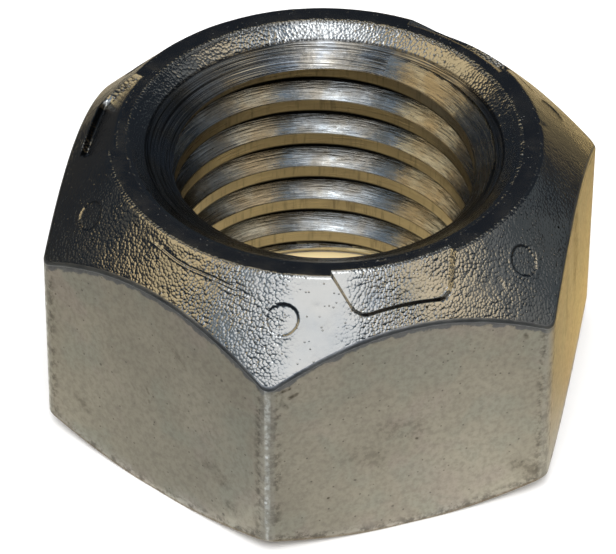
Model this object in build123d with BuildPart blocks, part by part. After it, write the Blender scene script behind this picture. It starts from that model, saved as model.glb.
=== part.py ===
"""All-metal hex lock nut with a crimped conical top, 7/8-9 UNC right-hand thread.

Millimetres, +Z up. The origin is the centre of the bearing face and Z is the thread's
axis. A flat with a crimp over it faces -Y, and a corner of the hexagon points to +X.
"""

import os
from math import ceil, cos, radians, sin, tan

from build123d import *
from build123d.topology import SkipClean

os.makedirs("parts", exist_ok=True)

# Hexagon
across_flats = 33.2
height = 19.35
side_edge_round = 1.1  # of the six upright edges

# Thread
thread_pitch = 25.4 / 9
thread_major_diameter = 22.225
bore_diameter = 19.5  # over the thread crests
thread_flank_angle = 30.0  # half of the included angle
thread_phase = 1.15  # height of a groove's middle over the corner that points to +X

# Mouth of the hole, from the thread outwards: a machined countersink, a forged dish
# and the rim. Their widths are measured level, their angles down from level.
countersink_margin = 0.39  # beyond the thread's major radius
countersink_angle = 30.0
dish_width = 1.1
dish_angle = 37.0
rim_width = 1.45
rim_chamfer = 0.4  # where the rim meets the cone

# Conical top
cone_angle = 47.0  # down from level

# Bearing face
bearing_diameter = 33.4
bearing_chamfer_angle = 27.5  # up from level, out to the corners
bottom_countersink_margin = 0.89  # beyond the thread's major radius
bottom_countersink_angle = 45.0

# Crimps, pressed square to the cone over every other flat
crimp_count = 3
crimp_depth = 0.4
crimp_foot_margin = 1.05  # from the face of the flat in to the crimp's lower edge
crimp_foot_width = 6.1
crimp_spread_angle = 17.5  # by which each side opens towards the rim
crimp_corner_round = 0.9
crimp_draft = 20.0
crimp_turn = 0.6  # of the crimps from the middles of the flats, clockwise from above

# Grade mark: a round dot punched over each corner
dot_count = 6
dot_diameter = 2.1
dot_depth = 0.2
dot_margin = 0.65  # how far nearer than the flats a dot's centre is to the axis
dot_draft = 40.0

beyond = 1.0  # how far the cutting shapes run past the faces that they cut


def rise(run, angle):
    """Height gained over a level distance at an angle from level."""
    return run * tan(radians(angle))


flat_radius = across_flats / 2
bore_radius = bore_diameter / 2
major_radius = thread_major_diameter / 2
countersink_radius = major_radius + countersink_margin
dish_radius = countersink_radius + dish_width
rim_radius = dish_radius + rim_width
corner_reach = flat_radius / cos(radians(30)) + beyond


def cone_height(radius):
    """Height of the conical top at a distance from the axis."""
    return height - rise(radius - rim_radius, cone_angle)


def on_cone(radius, direction):
    """Plane that touches the cone, with its Z square to it and its Y up the slope."""
    return Plane(
        origin=direction * radius + Vector(0, 0, cone_height(radius)),
        x_dir=Vector(0, 0, 1).cross(direction),
        z_dir=direction * sin(radians(cone_angle)) + Vector(0, 0, cos(radians(cone_angle))),
    )


# Outline that a lathe gives the bar: bearing face, corner chamfer, cone and rim
with BuildPart() as turned_outline:
    with BuildSketch(Plane.XZ) as outline_section:
        with BuildLine():
            Polyline(
                (0, 0),
                (bearing_diameter / 2, 0),
                (corner_reach, rise(corner_reach - bearing_diameter / 2, bearing_chamfer_angle)),
                (corner_reach, cone_height(corner_reach)),
                (rim_radius, height),
                (0, height),
                close=True,
            )
        make_face()
        rim_corner = outline_section.vertices().sort_by_distance((rim_radius, height))[0]
        chamfer(rim_corner, length=rim_chamfer)
    revolve(axis=Axis.Z)

# The hole before threading, as one of three equal sectors. With three, no strip of
# thread crest is longer than a third of a turn.
hole_sectors = 3
countersink_top = height - rise(dish_width, dish_angle)
countersink_foot = countersink_top - rise(countersink_radius - bore_radius, countersink_angle)
bottom_radius = major_radius + bottom_countersink_margin
bottom_top = rise(bottom_radius - bore_radius, bottom_countersink_angle)
bottom_spread = beyond / tan(radians(bottom_countersink_angle))

with BuildPart() as hole_sector:
    with BuildSketch(Plane.XZ) as hole_section:
        with BuildLine():
            Polyline(
                (0, -beyond),
                (bottom_radius + bottom_spread, -beyond),
                (bore_radius, bottom_top),
                (bore_radius, countersink_foot),
                (countersink_radius, countersink_top),
                (dish_radius, height),
                (dish_radius, height + beyond),
                (0, height + beyond),
                close=True,
            )
        make_face()
    revolve(axis=Axis.Z, revolution_arc=360 / hole_sectors)

# The thread groove, as the piece that one sector holds. Each piece carries on from the
# last, a third of a turn on and a third of the pitch higher, out past both faces.
# The groove is an eighth of the pitch wide at the thread's major diameter and goes on from
# there to a sharp V.
groove_rise = thread_pitch / hole_sectors
groove_root_radius = major_radius + thread_pitch / 16 / tan(radians(thread_flank_angle))
groove_mouth_radius = bore_radius - 0.1 * thread_pitch
groove_mouth_half = (groove_root_radius - groove_mouth_radius) * tan(radians(thread_flank_angle))
groove_start = thread_phase - thread_pitch * ceil((thread_phase + groove_mouth_half) / thread_pitch)
groove_pieces = ceil((height - groove_start) / groove_rise)

with BuildPart() as groove_piece:
    with BuildLine():
        Helix(pitch=thread_pitch, height=groove_rise, radius=bore_radius)
    with BuildSketch(Plane.XZ):
        with BuildLine():
            Polyline(
                (groove_mouth_radius, -groove_mouth_half),
                (groove_root_radius, 0),
                (groove_mouth_radius, groove_mouth_half),
                close=True,
            )
        make_face()
    sweep(is_frenet=True)

groove_places = [
    Location((0, 0, groove_start + i * groove_rise), (0, 0, i * 360 / hole_sectors))
    for i in range(groove_pieces)
]

# What one crimp presses away: the outline of its die, down to a cone under the real one
crimp_foot_radius = flat_radius - crimp_foot_margin
crimp_length = (crimp_foot_radius - dish_radius) / cos(radians(cone_angle)) + beyond
crimp_head_width = crimp_foot_width + 2 * rise(crimp_length, crimp_spread_angle)
crimp_drop = crimp_depth / cos(radians(cone_angle))

with BuildPart() as crimp:
    with BuildSketch(on_cone(crimp_foot_radius, Vector(0, -1, 0))) as die:
        with BuildLine():
            Polyline(
                (-crimp_foot_width / 2, 0),
                (crimp_foot_width / 2, 0),
                (crimp_head_width / 2, crimp_length),
                (-crimp_head_width / 2, crimp_length),
                close=True,
            )
        make_face()
        fillet(die.vertices().group_by(Axis.Z)[0], radius=crimp_corner_round)
    extrude(amount=-crimp_depth - beyond, taper=crimp_draft)
    extrude(die.sketch, amount=beyond)
    with BuildSketch(Plane.XZ):
        with BuildLine():
            Polyline(
                (0, cone_height(0) - crimp_drop),
                (corner_reach, cone_height(corner_reach) - crimp_drop),
                (corner_reach, cone_height(0)),
                (0, cone_height(0)),
                close=True,
            )
        make_face()
    revolve(axis=Axis.Z, mode=Mode.INTERSECT)

# What the punch of one dot presses away
with BuildPart() as dot_punch:
    with BuildSketch(on_cone(flat_radius - dot_margin, Vector(1, 0, 0))) as dot:
        Circle(dot_diameter / 2)
    extrude(amount=-dot_depth, taper=dot_draft)
    extrude(dot.sketch, amount=beyond)

with BuildPart() as lock_nut:
    with BuildSketch():
        bar = RegularPolygon(flat_radius, side_count=6, major_radius=False)
        fillet(bar.vertices(), radius=side_edge_round)
    extrude(amount=height)
    add(turned_outline.part, mode=Mode.INTERSECT)
    with PolarLocations(0, crimp_count, start_angle=-crimp_turn):
        add(crimp.part, mode=Mode.SUBTRACT)
    with PolarLocations(0, dot_count):
        add(dot_punch.part, mode=Mode.SUBTRACT)
    with SkipClean():  # so that the sectors' faces aren't joined again
        with PolarLocations(0, hole_sectors):
            add(hole_sector.part, mode=Mode.SUBTRACT)
        with Locations(groove_places):
            add(groove_piece.part, mode=Mode.SUBTRACT)

lock_nut.part.label = "lock_nut"
export_step(lock_nut.part, "parts/lock_nut.step")
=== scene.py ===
"""Hex lock nut with a crimped conical top, zinc plated: the detailed mesh and its look.

The mesh is worked out in millimetres on the CAD nut's own sizes, as rings of points
round the axis, and put into metres at the end. Azimuths are in degrees, from -Y
towards +X. A crimped flat faces -Y, and a corner of the hexagon points to +X.
"""
import math

import bmesh
import bpy
import numpy as np
from mathutils import Matrix, Vector, noise


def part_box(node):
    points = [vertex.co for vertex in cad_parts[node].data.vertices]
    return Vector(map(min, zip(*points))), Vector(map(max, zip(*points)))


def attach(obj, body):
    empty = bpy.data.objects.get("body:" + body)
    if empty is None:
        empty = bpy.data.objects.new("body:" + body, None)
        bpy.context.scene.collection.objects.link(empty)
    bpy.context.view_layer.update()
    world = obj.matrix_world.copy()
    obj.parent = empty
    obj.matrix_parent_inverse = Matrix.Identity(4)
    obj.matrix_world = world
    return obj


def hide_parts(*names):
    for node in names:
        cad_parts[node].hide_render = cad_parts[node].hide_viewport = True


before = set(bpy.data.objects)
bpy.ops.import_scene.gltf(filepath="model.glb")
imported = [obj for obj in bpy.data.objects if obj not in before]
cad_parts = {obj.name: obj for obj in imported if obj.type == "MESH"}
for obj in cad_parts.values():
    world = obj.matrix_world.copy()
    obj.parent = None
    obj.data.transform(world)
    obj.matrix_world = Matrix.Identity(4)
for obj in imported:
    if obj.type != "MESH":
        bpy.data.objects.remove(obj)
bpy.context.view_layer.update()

MM = 0.001

# ---------------------------------------------------------------- the nut's sizes, mm
box_low, box_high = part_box("lock_nut")
HEIGHT = box_high.z / MM
FLAT_R = (box_high.y - box_low.y) / 2 / MM
EDGE_ROUND = 1.1  # of the upright edges
ROUND_MID = (FLAT_R - EDGE_ROUND) / math.cos(math.radians(30))  # from the axis to the rounds' centres
CORNER_R = ROUND_MID + EDGE_ROUND

PITCH = 25.4 / 9
MAJOR_R = 22.225 / 2
BORE_R = 19.5 / 2
THREAD_PHASE = 1.15  # height of a groove's middle at azimuth 90
GROOVE_HALF = PITCH / 16  # half of the groove's width at the major diameter
FLANK = 1 / math.tan(math.radians(30))  # radius lost per mm along the axis

SINK_R = MAJOR_R + 0.39  # machined countersink, top edge
DISH_WIDTH = 1.1
DISH_R = SINK_R + DISH_WIDTH  # forged dish, top edge
RIM_R = DISH_R + 1.45
SINK_SLOPE = math.tan(math.radians(30))
DISH_SLOPE = math.tan(math.radians(37))
SINK_Z = HEIGHT - DISH_WIDTH * DISH_SLOPE
SINK_EDGE = 0.12  # how far inside its top edge the countersink starts to be rounded
TOP_Z = SINK_Z - SINK_EDGE * SINK_SLOPE
FOOT_Z = SINK_Z - (SINK_R - BORE_R) * SINK_SLOPE

CONE = math.radians(47)
BEARING_R = 33.4 / 2
BEARING_SLOPE = math.tan(math.radians(27.5))
UNDER_R = MAJOR_R + 0.89  # bottom countersink, at 45 degrees
UNDER_Z = UNDER_R - BORE_R

CRIMP_DEPTH = 0.4
CRIMP_FOOT = FLAT_R - 1.05  # from the axis to a crimp's lower edge
CRIMP_HALF = 3.05  # half of that edge's width
CRIMP_SPREAD = math.tan(math.radians(17.5))
CRIMP_ROUND = 0.9
CRIMP_TURN = 0.6  # degrees, clockwise from above
FOOT_WALL = 0.28  # how wide a crimp's slanting walls are: at its foot,
SIDE_WALLS = (0.2, 0.2)  # and at its sides, clockwise and anticlockwise from above
DOT_R, DOT_DEPTH, DOT_WALL = 0.98, 0.06, 0.12
DOT_IN = 0.65  # how far nearer than the flats a dot's centre is to the axis
LIP_OUT, LIP_WIDTH, LIP_HEIGHT = 0.14, 0.11, 0.014  # of the metal raised round a dot
DOT_SHIFT = [0.36, 0.75, 0.36, 0.36, 0.36, 0.36]  # mm, anticlockwise from each corner


def noise_at(r, azimuth, z, size, seed):
    """Smooth noise from about -1 to 1 at a ring's points, with features about size mm wide."""
    a = np.radians(azimuth)
    r, a, z = np.broadcast_arrays(r, a, z)
    off = Vector((17.3 * seed, -9.1 * seed, 5.7 * seed))
    pts = np.stack([r * np.sin(a), -r * np.cos(a), z], -1) / size
    return np.array([noise.noise(Vector(q) + off) for q in pts])


def smooth(x):
    """Smooth step from 0 to 1."""
    x = np.clip(x, 0, 1)
    return x * x * (3 - 2 * x)


# ---------------------------------------------------------------- columns
# Angles from the middle of a flat. Columns are closest beside the crimps and at corners.
FINE_FROM = 9.7
WALL_IN, WALL_OUT = 12.7, 13.3  # columns that run along the sides of the crimps
STAY_FROM = 24  # columns from here to the corner keep their angles
half = np.concatenate([
    np.linspace(0, FINE_FROM, 11)[:-1],
    np.linspace(FINE_FROM, WALL_IN, 11)[:-1],
    np.linspace(WALL_IN, WALL_OUT, 4)[:-1],
    np.linspace(WALL_OUT, STAY_FROM, 14)[:-1],
    np.linspace(STAY_FROM, 30, 21),
])
sector = np.concatenate([-half[:0:-1], half[:-1]])  # -30 up to 30, last left out
N = 6 * len(sector)
BETA = np.tile(sector, 6)  # from the middle of the flat
FLAT_AT = np.repeat(np.arange(6) * 60.0, len(sector))
CRIMPED = np.repeat([True, False] * 3, len(sector))
# a column at exactly -30 belongs to a corner, between two flats


def hexagon(beta):
    """Distance from the axis to the rounded hexagon."""
    b = np.radians(np.abs(beta))
    flat = FLAT_R / np.cos(b)
    k = math.radians(30) - b
    rest = EDGE_ROUND**2 - (ROUND_MID * np.sin(k)) ** 2
    corner = ROUND_MID * np.cos(k) + np.sqrt(np.maximum(rest, 0))
    straight = FLAT_R * np.tan(b) <= (FLAT_R - EDGE_ROUND) * math.tan(math.radians(30))
    return np.where(straight, flat, corner)


def cone_z(r, rim=RIM_R):
    """Height of the cone at a radius, for a rim that ends at another."""
    return HEIGHT - (r - rim) * math.tan(CONE)


rings = []  # each: (x, y, z arrays in mm, zone of the faces up to the next ring)


def ring(r, z, beta=None, flat_at=None, zone="cone"):
    """Add a ring of points at radii and heights, each at an angle from its flat's middle."""
    beta = BETA if beta is None else beta
    flat_at = FLAT_AT if flat_at is None else flat_at
    a = np.radians(flat_at + beta)
    r, z, a = np.broadcast_arrays(r, z, a)
    rings.append((r * np.sin(a), -r * np.cos(a), z.copy(), zone))


# ---------------------------------------------------------------- crimps and dots
def across_at(x, beta):
    """Radius to a line that passes the axis at x, square to the way its flat or crimp faces."""
    # a single angle is one in a crimp
    turn = CRIMP_TURN if len(beta) != N else np.where(CRIMPED, CRIMP_TURN, 0)
    return x / np.cos(np.radians(beta + turn))


def side_angle(radius_at, side, offset):
    """Angle at which a ring crosses the slanted side of a crimp, plus a distance in mm.

    radius_at gives the ring's radius at angles, on a crimp's floor (1) or outside it (0).
    """
    b = 13.0  # first guess
    on_floor = 1.0 if offset < 0 else 0.0
    for _ in range(12):
        r = float(radius_at(np.array([side * b - CRIMP_TURN]), on_floor)[0])
        up = (CRIMP_FOOT - r * math.cos(math.radians(b))) / math.cos(CONE)
        across = CRIMP_HALF + max(up, -0.3) * CRIMP_SPREAD + offset * math.hypot(1, CRIMP_SPREAD)
        b = math.degrees(math.asin(across / r))
    return side * b - CRIMP_TURN


def bent(radius_at):
    """Columns moved round so that some of them run along the side walls of each crimp."""
    walls = [side_angle(radius_at, -1, offset) for offset in (SIDE_WALLS[0] / 2, -SIDE_WALLS[0] / 2)]
    walls += [side_angle(radius_at, 1, offset) for offset in (-SIDE_WALLS[1] / 2, SIDE_WALLS[1] / 2)]
    columns = [-30, -STAY_FROM, -WALL_OUT, -WALL_IN, WALL_IN, WALL_OUT, STAY_FROM, 30]
    moved = np.interp(BETA, columns, [-30, -STAY_FROM, *walls, STAY_FROM, 30])
    return np.where(CRIMPED, moved, BETA)


# 1 on the columns between a crimp's sides, 0 on those outside
SIDE_MASK = np.where(CRIMPED, np.clip((WALL_OUT - np.abs(BETA)) / (WALL_OUT - WALL_IN), 0, 1), 0.0)


def crimp_mask(r, beta):
    """1 on a crimp's floor, 0 outside it, and between the two on its walls."""
    b = np.radians(beta + CRIMP_TURN)
    across = np.abs(r * np.sin(b))
    up = (CRIMP_FOOT - r * np.cos(b)) / math.cos(CONE)
    # signed distances to the slanted side and to the foot, both positive inside
    side = (CRIMP_HALF + up * CRIMP_SPREAD - across) / math.hypot(1, CRIMP_SPREAD)
    c = CRIMP_ROUND
    inside = np.where(
        (side < c) & (up < c), c - np.hypot(c - side, c - up), np.minimum(side, up)
    )
    share = np.clip((up - side) / (2 * c) + 0.5, 0, 1)
    wall = FOOT_WALL * (1 - share) + np.where(b > 0, SIDE_WALLS[1], SIDE_WALLS[0]) * share
    return np.where(CRIMPED, np.clip(inside / wall + 0.5, 0, 1), 0.0)


def dot_drop(r, beta, corner):
    """How deep the dots are, square to the cone. Each is a little out of round."""
    k = np.radians(30 - np.abs(beta))
    across = r * np.sin(k) * np.where(beta < 0, 1.0, -1.0) - np.array(DOT_SHIFT)[corner]
    up = (r * np.cos(k) - (FLAT_R - DOT_IN)) / math.cos(CONE)
    turn = np.arctan2(up, across)
    rho = np.hypot(across, up)
    rho = rho * (1 + 0.025 * np.sin(2 * turn + corner) + 0.02 * np.sin(3 * turn + 2 * corner))
    drop = smooth((DOT_R - rho) / DOT_WALL + 0.5)
    lip = np.exp(-(((rho - DOT_R - LIP_OUT) / LIP_WIDTH) ** 2))
    return DOT_DEPTH * drop - LIP_HEIGHT * lip


# number of the nearest corner, from the one at azimuth -30
CORNER = np.where(BETA < 0, FLAT_AT / 60, (FLAT_AT / 60 + 1) % 6).astype(int)


# ---------------------------------------------------------------- wear in the surface
def carve(r, azimuth):
    """How far wear sinks the forged top at a ring's points, in mm."""
    azimuth = (azimuth + 180) % 360 - 180
    # a gentle swell and finer ripples
    down = 0.014 * noise_at(r, azimuth, 0, 1.3, 1) + 0.006 * noise_at(r, azimuth, 0, 0.55, 2)
    for from_az, to_az, from_r, to_r, depth, width in CREASES:
        share = (azimuth - from_az) / (to_az - from_az)
        off = (r - from_r - (to_r - from_r) * share) / math.cos(CONE) + 0.05 * np.sin(share * 11)
        ends = smooth(share * 8) * smooth((1 - share) * 8)
        down += ends * depth * np.exp(-((off / width) ** 2))
        down -= ends * depth * 0.45 * np.exp(-(((off - 2.2 * width) / (1.2 * width)) ** 2))
    for at_az, at_r, half_across, half_along, depth in NICKS:
        across = np.radians(azimuth - at_az) * r / half_across
        down += depth * np.exp(-(across**2) - ((r - at_r) / half_along) ** 2)
    return down


# from azimuth, to azimuth, radius at both, depth, width
CREASES = [
    (-69, -40, 14.6, 14.96, 0.045, 0.06),
    (-64, -49, 14.42, 14.55, 0.03, 0.055),
    (-46, -36, 15.02, 15.2, 0.035, 0.07),
    (96, 118, 15.3, 14.9, 0.04, 0.08),
    (-172, -160, 15.1, 15.2, 0.045, 0.08),
]
# azimuth, radius, half size round the nut and out from the axis, depth
NICKS = [
    (-4, 12.95, 0.22, 0.3, 0.1), (-6, 13.35, 0.12, 0.22, 0.06), (-2.6, 13.5, 0.2, 0.1, 0.05),
    (63, 12.95, 0.25, 0.16, 0.08), (65.5, 13.3, 0.16, 0.2, 0.07), (67, 12.7, 0.2, 0.14, 0.06),
    (61, 13.5, 0.14, 0.16, 0.05), (78, 14.25, 0.16, 0.28, 0.12), (-30, 13.8, 0.3, 0.12, 0.04),
    (-141, 13.3, 0.3, 0.15, 0.05), (170, 13.6, 0.25, 0.2, 0.06), (131, 14.1, 0.5, 0.13, 0.07),
    (24, 16.2, 0.12, 0.3, 0.05), (-21, 15.3, 0.1, 0.16, 0.04), (-100, 16.8, 0.2, 0.14, 0.06),
]


def bore_radius(z, azimuth):
    """Radius of the hole at a height and azimuth: the largest of what is cut."""
    mid = THREAD_PHASE + PITCH * (azimuth - 90) / 360
    off = (z - mid + PITCH / 2) % PITCH - PITCH / 2
    groove = np.minimum(MAJOR_R, MAJOR_R - (np.abs(off) - GROOVE_HALF) * FLANK)
    sink = SINK_R - (SINK_Z - z) / SINK_SLOPE
    return np.maximum(np.maximum(groove, BORE_R), np.maximum(sink, UNDER_R - z))


# ---------------------------------------------------------------- rings of the top
CONE_START = 0.6  # how much of the cone the rim's profile takes in


def rounded(points, radii, steps):
    """Profile through the points with its corners rounded, each in a number of steps."""
    out = [points[0]]
    for i in range(1, len(points) - 1):
        p, a, b = (np.array(points[k], float) for k in (i, i - 1, i + 1))
        u, v = (a - p) / np.linalg.norm(a - p), (b - p) / np.linalg.norm(b - p)
        ang = math.acos(float(np.clip(u @ v, -1, 1)))
        t = radii[i - 1] / math.tan(ang / 2)
        for s in np.linspace(0, 1, steps[i - 1] + 1):
            q = (p + u * t) * (1 - s) ** 2 + p * 2 * s * (1 - s) + (p + v * t) * s * s
            out.append(tuple(q))
    out.append(points[-1])
    return out


def section(rim):
    """Dish, rim and the start of the cone, for a rim that ends at this radius."""
    end = rim + CONE_START
    corners = [
        (SINK_R - SINK_EDGE, TOP_Z), (SINK_R, SINK_Z), (DISH_R, HEIGHT), (rim, HEIGHT),
        (end, cone_z(end, rim)),
    ]
    return rounded(corners, radii=[0.18, 0.75, 0.42], steps=[2, 5, 5])


# the countersink, up to where its edge starts to be rounded
for z in np.linspace(FOOT_Z, TOP_Z, 17)[:-1]:
    ring(bore_radius(z, FLAT_AT + BETA), z, zone="bore")

# a crimp moves the cone inwards, and so the rim's edge. Rows of points run on into it
# level, and meet the crimp's floor further up than they would square to the cone.
SLID = CRIMP_DEPTH * (1 / math.sin(CONE) - math.sin(CONE))
plain, low = section(RIM_R), section(RIM_R - CRIMP_DEPTH / math.sin(CONE))


def lerp_path(path, counts):
    """More points on the straight parts of a profile."""
    out = []
    for (a, b), n in zip(zip(path, path[1:]), counts):
        for s in np.linspace(0, 1, n + 1)[:-1]:
            out.append((a[0] + (b[0] - a[0]) * s, a[1] + (b[1] - a[1]) * s))
    out.append(path[-1])
    return out


# straights: before the countersink's edge, the dish, the rim's top and the cone's start
counts = [1, 1, 1, 5] + [1] * 5 + [2] + [1] * 5 + [3]
zones = ["sink"] + ["dish"] * 12 + ["rim"] * 2 + ["cone"] * 9
plain, low = lerp_path(plain, counts), lerp_path(low, counts)
# Across the dish the columns turn towards the crimps' sides. From the dish's upper part
# outwards the crimps lower the profile.
TURNED_R, LOWERED_R = DISH_R - 0.4, DISH_R - 0.6
for (r_plain, z_plain), (r_low, z_low), zone in zip(plain, low, zones):
    in_dish = np.clip((r_plain - SINK_R) / (TURNED_R - SINK_R), 0, 1)
    turned = bent(lambda b, m: np.full_like(b, max(r_plain, RIM_R) - SLID * m))
    beta = BETA * (1 - in_dish) + turned * in_dish
    low_share = SIDE_MASK if r_plain > LOWERED_R else SIDE_MASK * 0
    r = r_plain * (1 - low_share) + r_low * low_share
    z = z_plain * (1 - low_share) + z_low * low_share
    if zone == "cone":
        down = carve(r, FLAT_AT + beta)
        ring(r - down * math.sin(CONE), z - down * math.cos(CONE), beta, zone=zone)
    else:
        ring(r, z - (carve(r, FLAT_AT + beta) if r_plain > SINK_R + 0.1 else 0), beta, zone=zone)

start_plain, start_low = plain[-1][0], plain[-1][0] - SLID
EDGE = 0.23  # how far the rounded edge between cone and flats reaches, along both
half_foot = FOOT_WALL / 2 * math.cos(CONE)


def cone_ring(radius_at, zone="cone"):
    """Add a ring on the cone, sunk by crimps, dots and wear. Returns its angles."""
    beta = bent(radius_at)
    r = radius_at(beta)
    drop = dot_drop(r, beta, CORNER) + CRIMP_DEPTH * crimp_mask(r, beta) + carve(r, FLAT_AT + beta)
    ring(r - drop * math.sin(CONE), cone_z(r) - drop * math.cos(CONE), beta, zone=zone)
    return beta


# from the rim to the crimps' feet, a little closer together towards the feet
CONE_ROWS = 42
for k in range(1, CONE_ROWS + 1):
    s = (k / CONE_ROWS) ** 0.9

    def radius(beta, m=SIDE_MASK, s=s):
        start = start_plain * (1 - m) + start_low * m
        return start * (1 - s) + across_at(CRIMP_FOOT - half_foot, beta) * s

    cone_ring(radius)

# across the crimps' feet
for s in (0.5, 1.0):
    cone_ring(lambda b, m=0: across_at(CRIMP_FOOT + half_foot * (2 * s - 1), b))

# on to where the cone's edge starts to be rounded
for s in (0.17, 0.34, 0.5, 0.67, 0.84, 1.0):

    def radius(beta, m=0, s=s):
        edge = hexagon(beta) - EDGE * math.cos(CONE)
        return across_at(CRIMP_FOOT + half_foot, beta) * (1 - s) + edge * s

    beta_flat = cone_ring(radius, zone="cone" if s < 1 else "edge")
hex_flat = hexagon(beta_flat)
edge_z = cone_z(hex_flat)

# round the edge between cone and flats
for s in (0.2, 0.4, 0.6, 0.8):
    cone_share, flat_share = (1 - s) ** 2, s * s
    ring(hex_flat - EDGE * math.cos(CONE) * cone_share,
         edge_z + EDGE * math.sin(CONE) * cone_share - EDGE * flat_share, beta_flat,
         zone="edge" if s < 0.7 else "flat")

# ---------------------------------------------------------------- flats and underside
WAVE = 0.012  # how far the flats wave in and out
FLAT_INSET = 0.008  # how far their mean lies inside the hexagon
BEVEL_IN, BEVEL_UP = 0.12, 0.1  # of the bottom edge
BEARING_IN = 0.2  # from the flats in to the bearing ring, where it would reach past them

coarse = slice(0, None, 2)  # every second column
beta_coarse, flat_coarse, hex_coarse = beta_flat[coarse], FLAT_AT[coarse], hex_flat[coarse]
bore_beta = BETA[coarse]
bearing_edge = np.minimum(BEARING_R, hex_coarse - BEARING_IN)


def chamfer_z(r):
    """Height of the underside at a radius: level, then rising towards the corners."""
    return np.maximum(0, (r - BEARING_R) * BEARING_SLOPE)


FLAT_ROWS = 10
for k in range(FLAT_ROWS + 1):
    s = k / FLAT_ROWS
    z = (edge_z[coarse] - EDGE) * (1 - s) + (chamfer_z(hex_coarse) + BEVEL_UP) * s
    wave = WAVE * noise_at(hex_coarse, flat_coarse + beta_coarse, z, 4.0, 3) * smooth(s * 8)
    zone = "flat" if k < FLAT_ROWS else "under"
    ring(hex_coarse - FLAT_INSET + wave, z, beta_coarse, flat_coarse, zone=zone)

for s in (0, 0.5, 1.0):
    r = (hex_coarse - BEVEL_IN) * (1 - s) + bearing_edge * s
    ring(r, chamfer_z(r), beta_coarse, flat_coarse, zone="under")
for s in (0.25, 0.5, 0.75, 0.96, 1.0):
    r = bearing_edge * (1 - s) + UNDER_R * s
    ring(r, 0.0, beta_coarse * (1 - s) + bore_beta * s, flat_coarse, zone="under")

# up the countersink of the underside
for z in np.linspace(0, UNDER_Z, 13)[1:]:
    ring(bore_radius(z, flat_coarse + bore_beta), z, bore_beta, flat_coarse, zone="bore")

# ---------------------------------------------------------------- the threaded bore
# Between the countersinks the rows of points rise with the thread. Outside them they
# are level, fine enough for the lines in which the thread meets the countersinks.
ROOT_HALF, CREST_FROM = 0.176, 0.963  # where a groove's root ends and the crest starts
STEPS = [-ROOT_HALF, ROOT_HALF, 0.93, CREST_FROM, 1.0, 1.2, PITCH / 2, PITCH - 1.2, PITCH - 1.0,
         PITCH - CREST_FROM, PITCH - 0.93, PITCH - 0.55]  # heights over a groove's middle
bore_azimuths = np.append(flat_coarse + bore_beta, flat_coarse[0] + bore_beta[0] + 360)
bore = []  # for each azimuth: heights and radii
for a in bore_azimuths:
    mid = THREAD_PHASE + PITCH * (a - 90) / 360
    z = np.array([mid + turn * PITCH + step for turn in range(-3, 9) for step in STEPS])
    z = np.clip(z, UNDER_Z, FOOT_Z)
    bore.append((z, bore_radius(z, a)))

# ---------------------------------------------------------------- mesh
ZONES = ["cone", "dish", "rim", "sink", "edge", "flat", "under", "flank", "crest"]
CLOSE = 0.03  # a face this close to one of the hole's plain surfaces belongs to it

bm = bmesh.new()
layers = []
for x, y, z, zone in rings:
    layers.append([bm.verts.new((x[i] * MM, y[i] * MM, z[i] * MM)) for i in range(len(x))])


def face(vs, zone):
    """Add a face. In the hole its zone follows from where it lies."""
    if zone == "bore":
        r = sum(v.co.to_2d().length for v in vs) / len(vs) / MM
        z = sum(v.co.z for v in vs) / len(vs) / MM
        if r < SINK_R - (SINK_Z - z) / SINK_SLOPE + CLOSE and z > FOOT_Z - 0.02:
            zone = "sink"
        elif r < UNDER_R - z + CLOSE:
            zone = "under"
        else:
            zone = "crest" if r < BORE_R + CLOSE else "flank"
    f = bm.faces.new(vs)
    f.material_index = ZONES.index(zone)
    f.smooth = True


for a, b, (*_, zone) in zip(layers, layers[1:], rings):
    n, m = len(a), len(b)
    if n == m:
        for i in range(n):
            j = (i + 1) % n
            face((a[i], a[j], b[j], b[i]), zone)
    else:  # two columns become one
        for i in range(m):
            j = (i + 1) % m
            p, q, s = a[2 * i], a[2 * i + 1], a[(2 * i + 2) % n]
            face((p, q, b[i]), zone)
            face((q, s, b[j], b[i]), zone)

bore_columns = []
for (heights, radii), a in zip(bore, np.radians(bore_azimuths)):
    places = [(r * math.sin(a) * MM, -r * math.cos(a) * MM, z * MM) for r, z in zip(radii, heights)]
    bore_columns.append([bm.verts.new(place) for place in places])
for c, d in zip(bore_columns, bore_columns[1:]):
    for k in range(len(c) - 1):
        # rows that lie outside the bore have no height
        if len({c[k].co.z, c[k + 1].co.z, d[k].co.z, d[k + 1].co.z}) > 1:
            face((c[k], c[k + 1], d[k + 1], d[k]), "bore")

# the top countersink's lowest ring has twice as many columns as the bore below it
bore_top = [c[-1] for c in bore_columns[:-1]]
for i in range(len(bore_top)):
    face((bore_top[i], bore_top[(i + 1) % len(bore_top)], layers[0][2 * i + 1]), "crest")

# join the points that lie in the same places, where the rings and the bore meet
bmesh.ops.remove_doubles(bm, verts=bm.verts[:], dist=2e-7)
loose = [v for v in bm.verts if not v.link_faces]
bmesh.ops.delete(bm, geom=loose, context="VERTS")
bmesh.ops.recalc_face_normals(bm, faces=bm.faces[:])
open_edges = sum(1 for e in bm.edges if len(e.link_faces) != 2)
print("open or shared edges:", open_edges, "triangles:", sum(len(f.verts) - 2 for f in bm.faces))

mesh = bpy.data.meshes.new("lock_nut_forged")
bm.to_mesh(mesh)
bm.free()
nut = bpy.data.objects.new("lock_nut_forged", mesh)
bpy.context.scene.collection.objects.link(nut)
mesh.set_sharp_from_angle(angle=math.radians(42))


# ---------------------------------------------------------------- materials
def socket(node, name):
    """Input of a node, by its name or its identifier."""
    return next(s for s in node.inputs if s.name == name or s.identifier == name)


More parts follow.
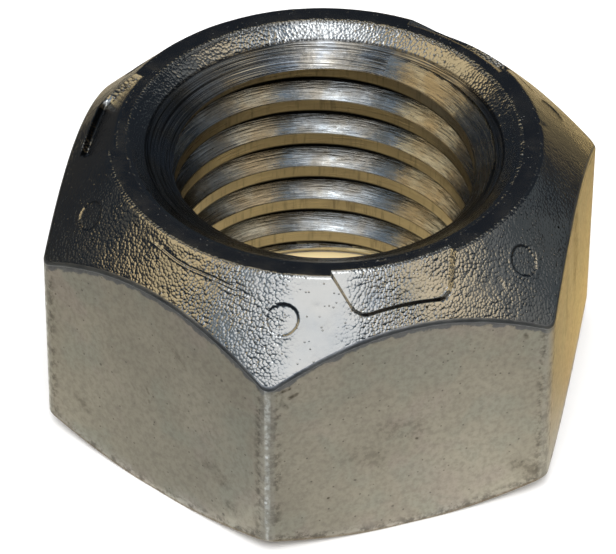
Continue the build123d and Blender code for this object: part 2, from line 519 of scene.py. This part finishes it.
class Nodes:
    """Short way to write a node tree."""

    def __init__(self, tree):
        self.tree = tree

    def add(self, kind, values=(), **props):
        n = self.tree.nodes.new(kind)
        for k, v in props.items():
            setattr(n, k, v)
        for name, v in dict(values).items():
            s = n.inputs[name] if isinstance(name, int) else socket(n, name)
            if isinstance(v, bpy.types.NodeSocket):
                self.tree.links.new(v, s)
            else:
                s.default_value = v
        return n

    def math(self, op, a, b=0.0, clamp=False):
        return self.add("ShaderNodeMath", {0: a, 1: b}, operation=op, use_clamp=clamp).outputs[0]

    def ramp(self, fac, low, high, a=0.0, b=1.0):
        """Smooth step of fac from low to high, as a number from a to b."""
        values = {0: fac, 1: low, 2: high, 3: a, 4: b}
        return self.add("ShaderNodeMapRange", values, interpolation_type="SMOOTHSTEP").outputs[0]

    def noise(self, vector, scale, detail=2.0, rough=0.5, distortion=0.0):
        n = self.add("ShaderNodeTexNoise", {"Vector": vector, "Scale": scale, "Detail": detail,
                                            "Roughness": rough, "Distortion": distortion})
        return n.outputs["Fac"]

    def mix(self, fac, a, b):
        n = self.add("ShaderNodeMix", data_type="RGBA")
        for s, v in ((n.inputs[0], fac), (n.inputs[6], a), (n.inputs[7], b)):
            if isinstance(v, bpy.types.NodeSocket):
                self.tree.links.new(v, s)
            else:
                s.default_value = v
        return n.outputs[2]


def rgb(r, g, b):
    return (r, g, b, 1.0)


def material(name, build):
    """New material, whose shader the build function fills in from object coordinates."""
    mat = bpy.data.materials.new(name)
    mat.use_nodes = True
    tree = mat.node_tree
    tree.nodes.clear()
    g = Nodes(tree)
    out = g.add("ShaderNodeOutputMaterial")
    bsdf = g.add("ShaderNodeBsdfPrincipled")
    tree.links.new(bsdf.outputs[0], out.inputs[0])
    coords = g.add("ShaderNodeTexCoord").outputs["Object"]
    build(g, bsdf, coords)
    return mat


def link(g, value, bsdf, name):
    g.tree.links.new(value, bsdf.inputs[name])


def bumped(g, bsdf, heights):
    """Chain of bumps: (height, distance in mm, strength)."""
    normal = None
    for height, distance, strength in heights:
        b = g.add("ShaderNodeBump", {"Height": height, "Distance": distance * MM, "Strength": strength})
        if normal is not None:
            g.tree.links.new(normal, b.inputs["Normal"])
        normal = b.outputs["Normal"]
    g.tree.links.new(normal, bsdf.inputs["Normal"])


def spread(g, coords, x, y, z):
    """The coordinates with each axis scaled by itself."""
    return g.add("ShaderNodeVectorMath", {0: coords, 1: (x, y, z)}, operation="MULTIPLY").outputs[0]


def specks(g, coords, size, share):
    """Round spots of about size mm in diameter, in a share of a grid's cells."""
    cells = g.add("ShaderNodeTexVoronoi", {"Vector": coords, "Scale": 0.5 / (size * MM)})
    near = g.ramp(cells.outputs["Distance"], 0.12, 0.3, 1.0, 0.0)
    chance = g.add("ShaderNodeSeparateColor", {0: cells.outputs["Color"]}).outputs[0]
    picked = g.math("LESS_THAN", chance, share)
    return g.math("MULTIPLY", near, picked)


def dot_product(g, a, b):
    return g.add("ShaderNodeVectorMath", {0: a, 1: b}, operation="DOT_PRODUCT").outputs["Value"]


def distance(g, a, b):
    return g.add("ShaderNodeVectorMath", {0: a, 1: b}, operation="DISTANCE").outputs["Value"]


def stroke(g, coords, start, end, width):
    """A short mark between two places, in mm: 1 in its middle, 0 outside its width."""
    start, end = Vector(start) * MM, Vector(end) * MM
    way = end - start
    from_start = g.add("ShaderNodeVectorMath", {0: coords, 1: start}, operation="SUBTRACT").outputs[0]
    along = dot_product(g, from_start, way / way.length_squared)
    along = g.math("MULTIPLY", along, 1.0, clamp=True)
    foot = g.add("ShaderNodeVectorMath", {0: way, 3: along}, operation="SCALE").outputs[0]
    return g.ramp(distance(g, from_start, foot), 0.2 * width * MM, width * MM, 1.0, 0.0)


def polar(g, coords):
    """Distance from the axis and height, in mm."""
    xyz = g.add("ShaderNodeSeparateXYZ", {0: coords})
    x, y = xyz.outputs[0], xyz.outputs[1]
    r = g.math("SQRT", g.math("ADD", g.math("MULTIPLY", x, x), g.math("MULTIPLY", y, y)))
    return g.math("MULTIPLY", r, 1000.0), g.math("MULTIPLY", xyz.outputs[2], 1000.0)


def on_flat(azimuth, along, z):
    """Place on the flat that faces an azimuth, along from its middle and up, in mm."""
    a = math.radians(azimuth)
    return (FLAT_R * math.sin(a) + along * math.cos(a), -FLAT_R * math.cos(a) + along * math.sin(a), z)


def on_cone(azimuth, r):
    """Place on the cone, in mm."""
    a = math.radians(azimuth)
    return (r * math.sin(a), -r * math.cos(a), float(cone_z(r)))


def crimp_foot_shade(g, coords):
    """1 along the foot of two of the crimps, where shade is painted into the colour."""
    out = 0.0
    for azimuth in (0, 240):
        a = math.radians(azimuth - CRIMP_TURN)
        away, along = Vector((math.sin(a), -math.cos(a), 0)), Vector((math.cos(a), math.sin(a), 0))
        from_axis, from_middle = dot_product(g, coords, away / MM), dot_product(g, coords, along / MM)
        off_line = g.math("ABSOLUTE", g.math("SUBTRACT", from_axis, CRIMP_FOOT - 0.15))
        line = g.ramp(off_line, 0.12, 0.24, 1.0, 0.0)
        ends = g.ramp(g.math("ABSOLUTE", from_middle), CRIMP_HALF - 0.4, CRIMP_HALF, 1.0, 0.0)
        out = g.math("MAXIMUM", out, g.math("MULTIPLY", line, ends))
    return out


def dot_edge_shade(g, coords):
    """1 along the edge of each dot, where shade is painted into the colour."""
    out = 0.0
    from_axis = FLAT_R - DOT_IN
    for k, shift in enumerate(DOT_SHIFT):
        mid = Vector(on_cone(-30 + 60 * k + math.degrees(shift / from_axis), from_axis)) * MM
        off_edge = g.math("ABSOLUTE", g.math("SUBTRACT", distance(g, coords, mid), (DOT_R - 0.02) * MM))
        out = g.math("MAXIMUM", out, g.ramp(off_edge, 0.02 * MM, 0.08 * MM, 1.0, 0.0))
    return out


def forged(g, bsdf, coords):
    """Bright zinc over small round pebbles."""
    cells = g.add("ShaderNodeTexVoronoi", {"Vector": coords, "Scale": 5000.0})
    near = cells.outputs["Distance"]
    domes = g.math("SUBTRACT", 1.0, g.math("MULTIPLY", near, near))
    pebbly = g.ramp(g.noise(coords, 420, 2.0), 0.35, 0.6, 0.5, 1.0)
    # one patch of the cone is rubbed almost smooth
    rubbed = stroke(g, coords, on_cone(-19, 13.6), on_cone(-22.5, 18.2), 2.9)
    pebbly = g.math("MULTIPLY", pebbly, g.math("SUBTRACT", 1.0, g.math("MULTIPLY", rubbed, 0.85)))
    swell = g.noise(coords, 1500, 1.0, 0.5)
    pits = specks(g, coords, 0.12, 0.2)
    # dirt in small spots; along the crimps' feet and where the dish meets the countersink the same dark
    # colour is painted shade in the creases
    from_sink = g.math("ABSOLUTE", g.math("SUBTRACT", polar(g, coords)[0], SINK_R + 0.03))
    dirt_and_crease_shade = g.math("MAXIMUM", specks(g, coords, 0.2, 0.012), crimp_foot_shade(g, coords))
    dirt_and_crease_shade = g.math("MAXIMUM", dirt_and_crease_shade, g.ramp(from_sink, 0.04, 0.15, 0.75, 0.0))
    tone = g.noise(coords, 260, 4.0, 0.6)
    colour = g.mix(g.ramp(tone, 0.35, 0.65), rgb(0.57, 0.59, 0.60), rgb(0.64, 0.64, 0.625))
    # painted shade: a darker ring round the edge of each dot
    colour = g.mix(g.math("MULTIPLY", dot_edge_shade(g, coords), 0.5), colour, rgb(0.20, 0.22, 0.24))
    link(g, g.mix(dirt_and_crease_shade, colour, rgb(0.05, 0.045, 0.04)), bsdf, "Base Color")
    bsdf.inputs["Metallic"].default_value = 1.0
    link(g, g.ramp(g.noise(coords, 900, 2.0), 0.3, 0.7, 0.10, 0.19), bsdf, "Roughness")
    pebbles = g.math("MULTIPLY", domes, pebbly)
    bumped(g, bsdf, [(swell, 0.02, 0.5), (pebbles, 0.03, 1.0), (pits, 0.014, 1.0)])


def rim_look(g, bsdf, coords):
    """The rim, rubbed smoother than the cone; its zinc is darker and bluer than the cone's, partly as
    painted dark reflection.
    """
    tone = g.noise(coords, 700, 3.0)
    link(g, g.mix(tone, rgb(0.44, 0.46, 0.49), rgb(0.56, 0.57, 0.58)), bsdf, "Base Color")
    bsdf.inputs["Metallic"].default_value = 1.0
    link(g, g.ramp(tone, 0.3, 0.7, 0.14, 0.22), bsdf, "Roughness")
    bumped(g, bsdf, [(g.noise(coords, 1600, 2.0), 0.02, 0.6), (specks(g, coords, 0.11, 0.1), 0.05, 1.0)])


def edge_look(g, bsdf, coords):
    """The worn edge between cone and flats; its bluish tone is partly painted reflection."""
    tone = g.noise(coords, 500, 3.0)
    link(g, g.mix(tone, rgb(0.50, 0.54, 0.60), rgb(0.64, 0.67, 0.70)), bsdf, "Base Color")
    bsdf.inputs["Metallic"].default_value = 1.0
    link(g, g.ramp(tone, 0.3, 0.7, 0.34, 0.46), bsdf, "Roughness")
    bumped(g, bsdf, [(g.noise(coords, 1800, 2.0), 0.04, 0.8)])


# dark marks on the flats: facing azimuth, both ends (along, z), width in mm, strength
STAINS = [
    (-60, (-0.6, 8.4), (-0.45, 8.1), 0.16, 0.8), (-60, (-0.45, 7.5), (-0.4, 7.4), 0.16, 0.8),
    (-60, (4.8, 5.0), (5.8, 4.4), 0.9, 0.35), (-60, (6.4, 2.6), (6.9, 2.4), 0.6, 0.4),
    (-60, (-6.8, 4.2), (-6.0, 3.6), 0.6, 0.3), (-60, (1.4, 13.4), (2.6, 12.2), 0.5, 0.25),
    (0, (-8.5, 13.75), (-8.1, 13.9), 0.2, 1.0), (0, (-8.1, 13.1), (-7.6, 13.3), 0.2, 0.8),
    (0, (-8.6, 12.9), (-8.3, 12.4), 0.25, 0.6), (0, (0.95, 16.45), (1.4, 16.5), 0.22, 1.0),
    (0, (0.45, 7.3), (0.5, 7.3), 0.14, 0.8), (0, (-5.45, 3.9), (-5.4, 3.9), 0.13, 0.9),
    (0, (7.6, 14.0), (7.75, 13.7), 0.22, 0.9), (0, (-1.6, 8.6), (0.4, 8.2), 1.3, 0.25),
    (0, (-4.0, 7.2), (-2.2, 6.4), 1.2, 0.2), (0, (7.4, 3.2), (8.4, 2.2), 0.9, 0.45),
    (60, (-0.6, 15.4), (0.9, 10.4), 1.5, 0.6), (60, (1.0, 9.6), (1.3, 7.4), 0.8, 0.35),
    (60, (-4.0, 15.5), (-2.6, 8.0), 0.7, 0.4), (180, (2.0, 9.0), (3.0, 8.2), 0.5, 0.5),
    (120, (-3.0, 6.0), (-2.2, 6.6), 0.4, 0.5), (-120, (1.0, 11.0), (1.4, 10.0), 0.4, 0.5),
]


def flat_look(g, bsdf, coords):
    """Dull grey-beige flats with a fine grain, dark specks and darker patches along the edges."""
    r, z = polar(g, coords)
    tone = g.noise(coords, 170, 5.0, 0.6)
    grain = g.noise(coords, 2600, 3.0, 0.65)
    colour = g.mix(g.ramp(tone, 0.3, 0.7), rgb(0.405, 0.376, 0.311), rgb(0.473, 0.44, 0.365))
    warm = g.ramp(g.noise(coords, 190, 3.0, 0.55, 0.6), 0.48, 0.66, 0.0, 0.6)
    cold = g.ramp(g.noise(coords, 240, 3.0, 0.55, 0.6), 0.48, 0.66, 0.0, 0.6)
    colour = g.mix(warm, colour, rgb(0.445, 0.39, 0.345))
    colour = g.mix(cold, colour, rgb(0.40, 0.405, 0.345))
    colour = g.mix(g.ramp(grain, 0.35, 0.75, 0.0, 0.4), colour, rgb(0.26, 0.245, 0.21))
    dots = g.math("MAXIMUM", specks(g, coords, 0.15, 0.09), specks(g, coords, 0.26, 0.02))
    colour = g.mix(g.math("MULTIPLY", dots, 0.6), colour, rgb(0.085, 0.075, 0.065))
    patchy = g.ramp(g.noise(coords, 1300, 4.0, 0.7), 0.42, 0.62)
    for azimuth, one, other, width, strength in STAINS:
        mark = stroke(g, coords, on_flat(azimuth, *one), on_flat(azimuth, *other), width)
        ragged = g.math("ADD", g.math("MULTIPLY", patchy, 0.6 * strength), 0.4 * strength)
        colour = g.mix(g.math("MULTIPLY", mark, ragged), colour, rgb(0.085, 0.068, 0.045))
    # darker in patches below the cone, beside the upright edges and along the bottom
    under_cone = g.math("SUBTRACT", HEIGHT + RIM_R * math.tan(CONE), g.math("MULTIPLY", r, math.tan(CONE)))
    under_cone = g.math("SUBTRACT", under_cone, z)
    by_corner = g.ramp(r, CORNER_R - 0.398, CORNER_R - 0.158, 0.0, 0.6)
    darker_edges = g.math("MAXIMUM", g.ramp(under_cone, 0.15, 0.6, 0.4, 0.0), by_corner)
    chamfer = g.math("MULTIPLY", g.math("SUBTRACT", r, BEARING_R), BEARING_SLOPE)
    over_chamfer = g.math("SUBTRACT", z, chamfer)
    darker_edges = g.math("MAXIMUM", darker_edges, g.ramp(over_chamfer, 0.2, 1.0, 0.8, 0.0))
    colour = g.mix(g.math("MULTIPLY", darker_edges, patchy), colour, rgb(0.11, 0.095, 0.075))
    # painted dark reflection: a ragged blue-grey band along the top of the flats, at the rounded edge
    # under the cone
    ragged = g.math("SUBTRACT", under_cone, g.math("MULTIPLY", g.noise(coords, 1100, 3.0, 0.6), 1.1))
    colour = g.mix(g.ramp(ragged, -0.2, -0.05, 0.8, 0.0), colour, rgb(0.15, 0.16, 0.18))
    # darker brown along the very bottom of the flats
    colour = g.mix(g.ramp(over_chamfer, 0.1, 0.34, 0.75, 0.0), colour, rgb(0.23, 0.18, 0.11))
    # the rounded upright edges are rubbed; on those towards -X, near-white dots along their middles are
    # painted highlights
    worn = g.math("MULTIPLY", g.ramp(r, CORNER_R - 0.178, CORNER_R - 0.048), 0.4)
    fine = g.ramp(g.noise(coords, 2200, 3.0, 0.7), 0.4, 0.6, 0.1, 0.5)
    painted_highlight_spots = g.math("MAXIMUM", specks(g, coords, 0.3, 0.5), fine)
    on_left = g.ramp(g.add("ShaderNodeSeparateXYZ", {0: coords}).outputs[0], -5 * MM, -3 * MM, 1.0, 0.0)
    in_middle = g.ramp(r, CORNER_R - 0.033, CORNER_R - 0.013)
    painted_highlight_spots = g.math("MULTIPLY", painted_highlight_spots, g.math("MULTIPLY", in_middle, on_left))
    colour = g.mix(worn, colour, rgb(0.43, 0.42, 0.38))
    link(g, g.mix(painted_highlight_spots, colour, rgb(0.95, 1.0, 1.0)), bsdf, "Base Color")
    bsdf.inputs["Metallic"].default_value = 0.85
    rough = g.math("SUBTRACT", g.ramp(grain, 0.3, 0.7, 0.42, 0.54), g.math("MULTIPLY", worn, 0.1))
    link(g, g.math("SUBTRACT", rough, g.math("MULTIPLY", painted_highlight_spots, 0.24)), bsdf, "Roughness")
    bumped(g, bsdf, [(g.noise(coords, 900, 3.0), 0.02, 0.5), (grain, 0.012, 0.5)])


def turned_lines(g, coords, fine=60.0):
    """Coordinates stretched round the nut, for noise like the marks of a cutting tool."""
    r, z = (g.math("MULTIPLY", way, fine * MM) for way in polar(g, coords))
    lines = g.add("ShaderNodeCombineXYZ", {0: r, 1: z})
    slow = spread(g, coords, 2.2, 2.2, 2.2)
    return g.add("ShaderNodeVectorMath", {0: lines.outputs[0], 1: slow}, operation="ADD").outputs[0]


def groove_offset(g, coords):
    """Height over the middle of the next groove down of the thread, in mm."""
    x, y, z = g.add("ShaderNodeSeparateXYZ", {0: coords}).outputs
    angle = g.math("ARCTAN2", x, g.math("MULTIPLY", y, -1.0))
    climb = g.math("MULTIPLY", angle, PITCH / math.tau)
    up = g.math("SUBTRACT", g.math("MULTIPLY", z, 1000.0), climb)
    return g.math("FLOORED_MODULO", g.math("SUBTRACT", up, THREAD_PHASE - PITCH / 4), PITCH)


def machined(g, bsdf, coords, tint_a, tint_b, rough, depth, brushed=0.0, dark=0.0, more=()):
    """Turned metal with tool marks of a depth in mm, dark where dark is 1.

    Brushed metal spreads its reflections square to the marks. More are bumps under them.
    """
    at = turned_lines(g, coords)
    lines = g.noise(at, 150, 1.5, 0.5)
    tone = g.noise(coords, 420, 3.0, 0.6)
    bands = g.ramp(g.noise(at, 60, 2.0, 0.6), 0.35, 0.7, 0.0, 0.35)
    colour = g.mix(g.ramp(tone, 0.35, 0.65), tint_a, tint_b)
    colour = g.mix(bands, colour, rgb(0.25, 0.22, 0.17))
    link(g, g.mix(dark, colour, rgb(0.02, 0.02, 0.02)), bsdf, "Base Color")
    bsdf.inputs["Metallic"].default_value = 1.0
    link(g, g.ramp(lines, 0.3, 0.7, rough - 0.05, rough + 0.07), bsdf, "Roughness")
    bsdf.inputs["Anisotropic"].default_value = brushed
    bsdf.inputs["Anisotropic Rotation"].default_value = 0.25
    around = g.add("ShaderNodeTangent", direction_type="RADIAL", axis="Z")
    link(g, around.outputs[0], bsdf, "Tangent")
    bumped(g, bsdf, [*more, (lines, depth, 0.9), (g.noise(coords, 3000, 1.0), 0.012, 0.5)])


def sink_look(g, bsdf, coords):
    """The turned countersink, with tool marks whose near-black lines are painted dark reflection."""
    tool_marks_painted_dark = g.ramp(g.noise(turned_lines(g, coords, 110.0), 90, 2.5, 0.65), 0.47, 0.6, 0.0, 0.75)
    machined(g, bsdf, coords, rgb(0.53, 0.57, 0.62), rgb(0.58, 0.54, 0.47), 0.17, 0.06, 0.45, tool_marks_painted_dark)


def flank_look(g, bsdf, coords):
    """The thread's flanks, with painted shade at their roots and on the sides that face down."""
    r, z = polar(g, coords)
    below_sink = g.ramp(z, FOOT_Z - 0.4, FOOT_Z, 1.0, 0.0)
    dark = g.math("MULTIPLY", g.ramp(r, MAJOR_R - 0.17, MAJOR_R - 0.07), below_sink)
    up = groove_offset(g, coords)
    dark = g.math("MAXIMUM", dark, g.math("MULTIPLY", g.math("LESS_THAN", up, PITCH / 2), 0.85))
    # the tool left the flanks a little steeper towards their crests
    machined(g, bsdf, coords, rgb(0.60, 0.65, 0.69), rgb(0.52, 0.48, 0.41), 0.22, 0.044, 0.82, dark,
             more=[(up, 0.36, 1.0)])


def crest_look(g, bsdf, coords):
    """The thread's crests, dull, with painted shade along the lower edge and short dark upright cuts."""
    edge_shade_and_cuts = g.ramp(groove_offset(g, coords), 0.98, 1.12, 1.0, 0.0)
    cuts = g.noise(spread(g, coords, 1.0, 1.0, 0.12), 3600, 2.0, 0.6)
    edge_shade_and_cuts = g.math("MAXIMUM", edge_shade_and_cuts, g.ramp(cuts, 0.5, 0.72, 0.0, 0.35))
    machined(g, bsdf, coords, rgb(0.27, 0.24, 0.185), rgb(0.32, 0.285, 0.215), 0.32, 0.012, dark=edge_shade_and_cuts)


looks = {
    "cone": material("zinc_forged", forged), "rim": material("zinc_rim", rim_look),
    "edge": material("zinc_edge", edge_look), "flat": material("zinc_flat", flat_look),
    "sink": material("zinc_sink", sink_look), "flank": material("zinc_flank", flank_look),
    "crest": material("zinc_crest", crest_look),
}
looks["dish"], looks["under"] = looks["cone"], looks["flat"]
for zone in ZONES:
    mesh.materials.append(looks[zone])

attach(nut, "root")
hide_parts("lock_nut")

# ---------------------------------------------------------------- camera
TURN = -19.51  # azimuth of the camera
ELEVATION = 39.864
AIM = Vector((-0.993, 0.0, 7.63))  # in mm, with the camera to the -Y side
DISTANCE = 298.8  # in mm
ROLL = 0.4964  # in degrees
camera_turn = Matrix.Rotation(math.radians(TURN), 4, "Z")


def toward(azimuth, elevation):
    """Direction from the nut, its azimuth counted from the camera's side."""
    az, el = math.radians(azimuth), math.radians(elevation)
    way = Vector((math.cos(el) * math.sin(az), -math.cos(el) * math.cos(az), math.sin(el)))
    return camera_turn @ way


aim = camera_turn @ (AIM * MM)
back = toward(0, ELEVATION)
camera = bpy.data.objects.new("camera", bpy.data.cameras.new("camera"))
bpy.context.scene.collection.objects.link(camera)
camera.location = aim + back * DISTANCE * MM
look = (-back).to_track_quat("-Z", "Y").to_matrix().to_4x4()
camera.rotation_euler = (look @ Matrix.Rotation(math.radians(ROLL), 4, "Z")).to_euler()
camera.data.sensor_width = 36.0
camera.data.lens = 264.36
camera.data.clip_start = 0.01
camera.data.clip_end = 100.0
bpy.context.scene.camera = camera

# ---------------------------------------------------------------- studio
scene = bpy.context.scene
scene.view_settings.view_transform = "Standard"
world = bpy.data.worlds.new("studio")
scene.world = world
world.use_nodes = True
background = world.node_tree.nodes["Background"]
background.inputs["Color"].default_value = rgb(1, 1, 1)
background.inputs["Strength"].default_value = 1.0


def plain_material(name, colour, glow=rgb(1, 1, 1), glow_strength=0.0):
    """Matt material for the stage."""
    mat = bpy.data.materials.new(name)
    mat.use_nodes = True
    bsdf = mat.node_tree.nodes["Principled BSDF"]
    bsdf.inputs["Base Color"].default_value = colour
    bsdf.inputs["Roughness"].default_value = 0.8
    bsdf.inputs["Specular IOR Level"].default_value = 0.0
    bsdf.inputs["Emission Color"].default_value = glow
    bsdf.inputs["Emission Strength"].default_value = glow_strength
    return mat


def stage_mesh(name, verts, faces, mat):
    """Mesh round the nut that isn't part of it."""
    m = bpy.data.meshes.new(name)
    m.from_pydata(verts, [], faces)
    m.materials.append(mat)
    o = bpy.data.objects.new(name, m)
    scene.collection.objects.link(o)
    return o


FLOOR_HALF = 6.0  # in metres
floor = [(x * FLOOR_HALF, y * FLOOR_HALF, 0) for x, y in ((-1, -1), (1, -1), (1, 1), (-1, 1))]
stage_mesh("floor", floor, [(0, 1, 2, 3)], plain_material("floor", rgb(0.97, 0.97, 0.97)))

# a tan sheet under the nut, seen through its hole; its glow is painted light that makes it look lit
SHEET_R, SHEET_Z = 11.8, 0.05
SHEET_POINTS = 64
corners = [k * math.tau / SHEET_POINTS for k in range(SHEET_POINTS)]
sheet = [(SHEET_R * MM * math.cos(a), SHEET_R * MM * math.sin(a), SHEET_Z * MM) for a in corners]
stage_mesh("sheet", sheet, [tuple(range(SHEET_POINTS))],
           plain_material("sheet", rgb(0.92, 0.76, 0.46), rgb(0.36, 0.30, 0.17), 1.0))

# Cards round and over the nut, which only its reflections show: a dark tent with a
# white window in front and above, a bright strip on it, warm panels at both sides and
# dim ones behind. A panel covers those below it in the list.
# Each panel: azimuth, elevation, half width, half height, softness (degrees), colour.
PANELS = [
    (1, 71, 4.5, 11, 2, (3.2, 3.3, 3.4)),
    (-6, 48, 22, 12, 4, (1.03, 1.03, 1.03)),
    (0, 60, 18.5, 15.5, 3, (1.03, 1.03, 1.03)),
    (0, 86, 7, 34, 3, (0.9, 0.9, 0.9)),
    (-4, 60, 31, 30, 6, (0.22, 0.28, 0.35)),
    (-38, 44, 15, 18, 10, (0.20, 0.23, 0.25)),
    (-79, 49, 26, 19, 10, (0.82, 0.64, 0.37)),
    (55, 48, 20, 16, 9, (0.86, 0.72, 0.51)),
    (84, 38, 20, 17, 8, (0.17, 0.175, 0.175)),
    (108, 14, 20, 9, 6, (0.085, 0.095, 0.10)),
    (-110, 24, 12, 8, 6, (0.08, 0.08, 0.075)),
    (142, 62, 13, 11, 6, (0.2, 0.2, 0.19)),
    (-168, 56, 10, 7, 4, (0.55, 0.45, 0.28)),
    (-144, 62, 13, 11, 6, (0.2, 0.2, 0.19)),
]
DARK = (0.020, 0.024, 0.030)


def tent_colour(direction):
    """Colour of the tent in a direction from the nut."""
    out = np.array(DARK)
    for az, el, w, h, soft, colour in reversed(PANELS):
        mid = toward(az, el)
        side = Vector((0, 0, 1)).cross(mid).normalized()
        up = mid.cross(side)
        if direction.dot(mid) > 0:
            x = math.degrees(math.atan2(direction.dot(side), direction.dot(mid)))
            y = math.degrees(math.atan2(direction.dot(up), direction.dot(mid)))
            share = smooth((1 - math.hypot(x / w, y / h)) * min(w, h) / soft + 0.5)
            out = out * (1 - share) + np.array(colour) * share
    return out


# What lies round the nut on the floor, as its sides reflect it: azimuth from the
# camera's side, colour near the nut. It fades outwards into a low dark wall.
SKIRT = [
    (-180, (0.66, 0.60, 0.48)), (-140, (0.72, 0.60, 0.40)), (-112, (0.50, 0.46, 0.38)),
    (-81, (0.62, 0.59, 0.50)), (-62, (0.44, 0.43, 0.38)), (-38, (0.36, 0.36, 0.33)),
    (-26, (0.38, 0.38, 0.36)), (-21, (0.8, 0.78, 0.72)), (-16, (0.38, 0.38, 0.36)),
    (-2, (0.42, 0.41, 0.37)), (16, (0.60, 0.58, 0.52)), (39, (0.72, 0.70, 0.63)),
    (60, (0.74, 0.70, 0.60)), (84, (0.74, 0.53, 0.22)), (108, (1.05, 0.74, 0.26)),
    (135, (1.3, 0.92, 0.36)), (159, (0.85, 0.70, 0.46)), (180, (0.66, 0.60, 0.48)),
]
WALL = [(-180, (0.03, 0.03, 0.03)), (120, (0.03, 0.03, 0.03)), (143, (0.22, 0.17, 0.09)),
        (156, (0.45, 0.33, 0.16)), (180, (0.03, 0.03, 0.03))]
AROUND = 240  # points in a row of the tent
NEAR_AXIS = 17 * MM  # rows nearer than this follow the nut's sides


def round_nut(table, azimuth):
    """Colour from a table at an azimuth from the camera's side."""
    at = [row[0] for row in table]
    return np.array([np.interp(azimuth, at, [row[1][c] for row in table]) for c in range(3)])


def tent(name, rows, colour_at):
    """A surface round the nut that glows with painted colours, from rows of (distance from the axis,
    height).

    Rows near the axis are hexagons, at that distance in the middles of their sides.
    """
    verts, colours, faces = [], [], []
    for j, (r, z) in enumerate(rows):
        for i in range(AROUND):
            a = math.tau * i / AROUND
            d = r if r > NEAR_AXIS else r / math.cos((a + math.pi / 6) % (math.pi / 3) - math.pi / 6)
            verts.append((d * math.sin(a), -d * math.cos(a), z))
            colours.append(colour_at(Vector(verts[-1]), j))
    for j in range(len(rows) - 1):
        this, following = j * AROUND, (j + 1) * AROUND
        for i in range(AROUND):
            k = (i + 1) % AROUND
            faces.append((this + i, this + k, following + k, following + i))
    mat = bpy.data.materials.new(name)
    mat.use_nodes = True
    mat.node_tree.nodes.clear()
    g = Nodes(mat.node_tree)
    paint = g.add("ShaderNodeAttribute", attribute_name="paint").outputs["Color"]
    glow = g.add("ShaderNodeEmission", {"Color": paint, "Strength": 1.0}).outputs[0]
    g.add("ShaderNodeOutputMaterial", {"Surface": glow})
    o = stage_mesh(name, verts, faces, mat)
    layer = o.data.attributes.new("paint", "FLOAT_COLOR", "POINT")
    for k, c in enumerate(colours):
        layer.data[k].color = (*c, 1.0)
    o.visible_camera = False
    o.visible_diffuse = False
    o.visible_shadow = False


def azimuth_of(place):
    """Azimuth of a place, from the camera's side."""
    return (math.degrees(math.atan2(place.x, -place.y)) - TURN + 180) % 360 - 180


TENT_R = 1.2  # in metres, as all sizes below
dome = [(TENT_R * math.cos(a), TENT_R * math.sin(a)) for a in np.radians(range(0, 90, 2))]
nut_top = Vector((0, 0, HEIGHT * MM))
tent("tent", dome + [(0.001, TENT_R)], lambda p, j: tent_colour((p - nut_top).normalized()))

SKIRT_Z = 2e-4  # just over the floor
WALL_R = 0.045
SKIRT_R = 0.0168  # its inner edge, just outside the nut's flats
skirt_rows = [(SKIRT_R, SKIRT_Z), (0.026, SKIRT_Z), (0.034, SKIRT_Z), (WALL_R, SKIRT_Z)]
skirt_fade = [1.3, 1.0, 0.85, 0.6]
tent("skirt", skirt_rows, lambda p, j: round_nut(SKIRT, azimuth_of(p)) * skirt_fade[j])
wall_rows = [(WALL_R, SKIRT_Z), (WALL_R, 0.004), (WALL_R, 0.014), (WALL_R, 0.02)]
tent("wall", wall_rows,
     lambda p, j: round_nut(WALL, azimuth_of(p)) if j else round_nut(SKIRT, azimuth_of(p)) * 0.4)

# a soft light from above the camera, which shows in no reflection
key = bpy.data.objects.new("key", bpy.data.lights.new("key", "AREA"))
scene.collection.objects.link(key)
key.data.shape = "DISK"
key.data.size = 0.5
key.data.energy = 7.0
key.location = toward(-3, 56)
key.rotation_euler = (-key.location).to_track_quat("-Z", "Y").to_euler()
key.visible_glossy = False
